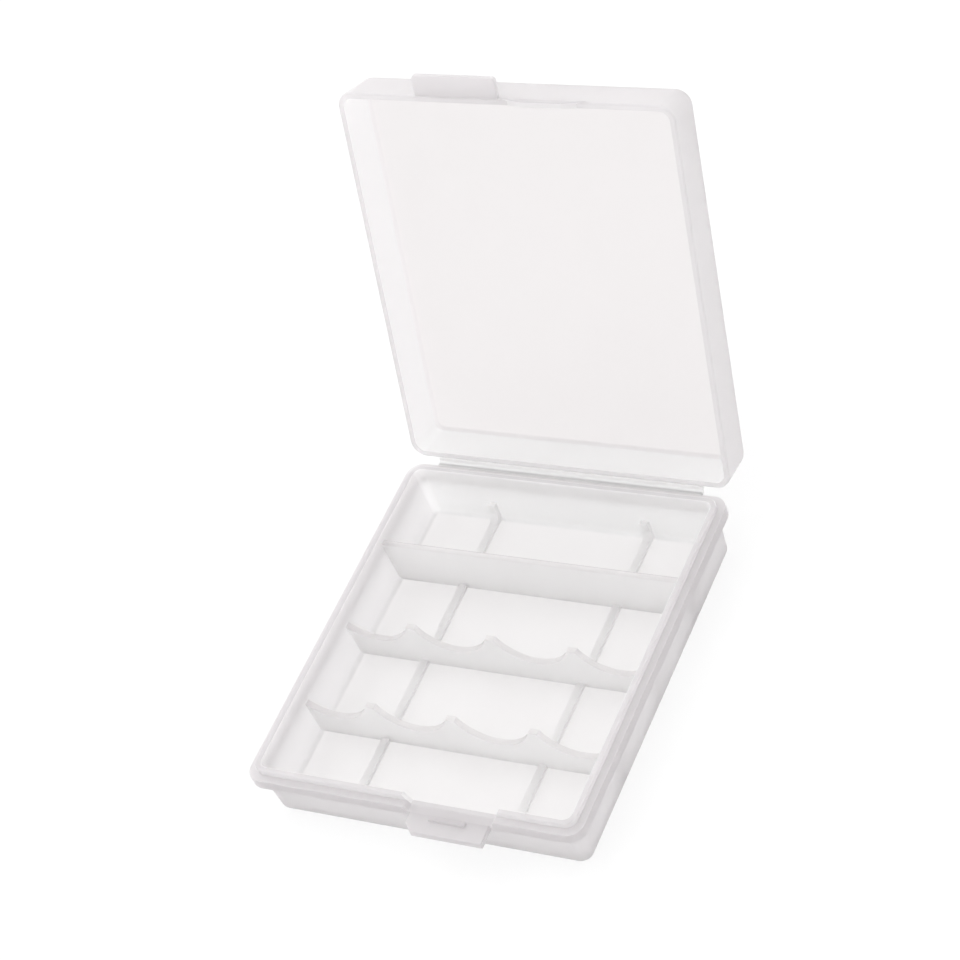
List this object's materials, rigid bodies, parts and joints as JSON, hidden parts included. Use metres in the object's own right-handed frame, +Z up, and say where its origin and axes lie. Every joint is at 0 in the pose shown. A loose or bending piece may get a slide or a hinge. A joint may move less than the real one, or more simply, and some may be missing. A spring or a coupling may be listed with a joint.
{
  "type": "battery storage case",
  "caption": "Pocket battery storage case of milky translucent plastic: a tray with cross dividers and scalloped cradles, and a hinged lid with thumb tabs.",
  "frame": {"origin": "centre of the tray's flat underside", "axes": "+Z up out of the tray, +Y toward the hinge, +X to the right seen from the thumb tabs"},
  "size_m": [0.053, 0.0885, 0.07],
  "materials": {
    "milky_polypropylene": "satin, milky translucent"
  },
  "bodies": {
    "base": {"base_tray": "milky_polypropylene", "seat_flange": "milky_polypropylene", "rear_divider": "milky_polypropylene", "middle_scalloped_divider": "milky_polypropylene", "front_scalloped_divider": "milky_polypropylene", "floor_rib_left": "milky_polypropylene", "floor_rib_right": "milky_polypropylene", "tray_thumb_tab": "milky_polypropylene", "catch_ridge": "milky_polypropylene", "hinge_leaf_tray": "milky_polypropylene", "hinge_web": "milky_polypropylene"},
    "lid": {"lid_shell": "milky_polypropylene", "lid_latch_lip": "milky_polypropylene", "lid_thumb_tab": "milky_polypropylene", "hinge_leaf_lid": "milky_polypropylene"}
  },
  "joints": [
    {"name": "lid_hinge", "type": "hinge", "parent": "base", "child": "lid", "pos_m": [0, 0.0306, 0.00935], "axis": [-1, 0, 0], "range_deg": [-107.5, 72.5], "deforming": ["hinge_web"]}
  ]
}
